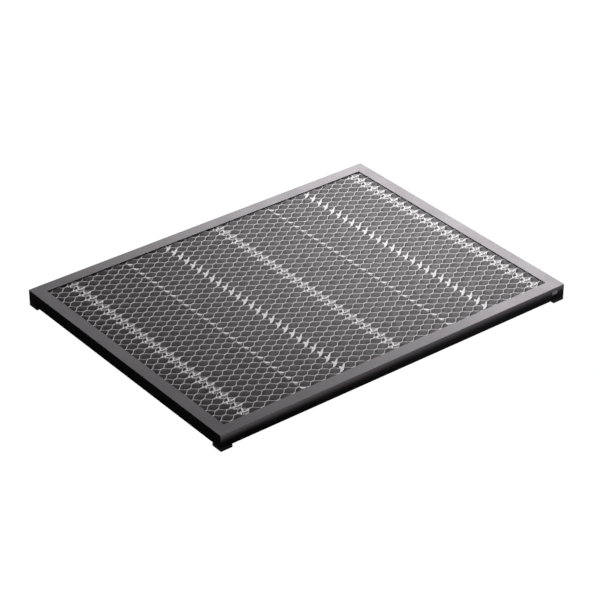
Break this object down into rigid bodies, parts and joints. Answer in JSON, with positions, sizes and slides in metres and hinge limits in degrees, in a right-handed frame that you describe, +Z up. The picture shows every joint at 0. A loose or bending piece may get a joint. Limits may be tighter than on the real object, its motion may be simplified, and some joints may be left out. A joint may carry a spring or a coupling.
{
  "type": "honeycomb work table panel",
  "caption": "Flat rectangular work-table panel: a shallow black channel frame on low corner feet, holding an open aluminium honeycomb core with pale seams across it.",
  "frame": {"origin": "centre of the footprint, on the surface that the feet stand on", "axes": "+X along the long side, +Y along the short side away from the rail with the inlay, +Z up through the open cells"},
  "size_m": [0.4, 0.3, 0.0168],
  "materials": {
    "black_paint": "satin black paint on the aluminium channel rails",
    "foil": "bare bright aluminium foil",
    "bare_aluminium": "cast and bare",
    "black_rubber": "matt moulded",
    "zinc_steel": "zinc plated",
    "grey_inlay": "plain grey, blank"
  },
  "bodies": {
    "root": {"rail_front": "black_paint", "rail_back": "black_paint", "rail_left": "black_paint", "rail_right": "black_paint", "honeycomb_core": "foil", "corner_key_front_left": "bare_aluminium", "corner_key_front_right": "bare_aluminium", "corner_key_back_left": "bare_aluminium", "corner_key_back_right": "bare_aluminium", "key_screw_front_left_long": "zinc_steel", "key_screw_front_left_short": "zinc_steel", "key_screw_front_right_long": "zinc_steel", "key_screw_front_right_short": "zinc_steel", "key_screw_back_left_long": "zinc_steel", "key_screw_back_left_short": "zinc_steel", "key_screw_back_right_long": "zinc_steel", "key_screw_back_right_short": "zinc_steel", "corner_foot_front_left": "black_rubber", "corner_foot_front_right": "black_rubber", "corner_foot_back_left": "black_rubber", "corner_foot_back_right": "black_rubber", "side_inlay": "grey_inlay"}
  },
  "joints": []
}
